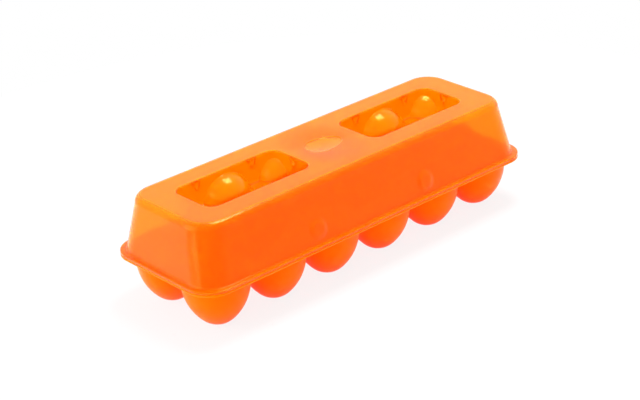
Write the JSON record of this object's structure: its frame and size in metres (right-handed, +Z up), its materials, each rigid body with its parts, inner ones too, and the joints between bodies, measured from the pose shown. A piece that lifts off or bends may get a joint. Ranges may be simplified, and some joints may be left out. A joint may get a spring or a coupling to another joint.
{
  "type": "egg carton",
  "caption": "Long moulded egg carton: rows of round cups under a hinged lid with sunken pockets, and a locking flap behind the lid's front wall.",
  "frame": {"origin": "centre of the footprint, on the table under the cups", "axes": "+X along the carton, +Z up, -Y towards the front that opens; the hinge runs along the back"},
  "size_m": [0.2976, 0.1067, 0.0787],
  "materials": {
    "carton_sheet": "glossy moulded orange polypropylene sheet",
    "lid_sheet": "glossy, slightly translucent moulded orange polypropylene sheet"
  },
  "bodies": {
    "base": {"tray": "carton_sheet", "locking_flap": "carton_sheet", "hinge_bead": "carton_sheet"},
    "lid": {"lid": "lid_sheet"}
  },
  "joints": [
    {"name": "lid_hinge", "type": "hinge", "parent": "base", "child": "lid", "pos_m": [0, 0.05235, 0.0364], "axis": [-1, 0, 0], "range_deg": [0, 155]}
  ]
}
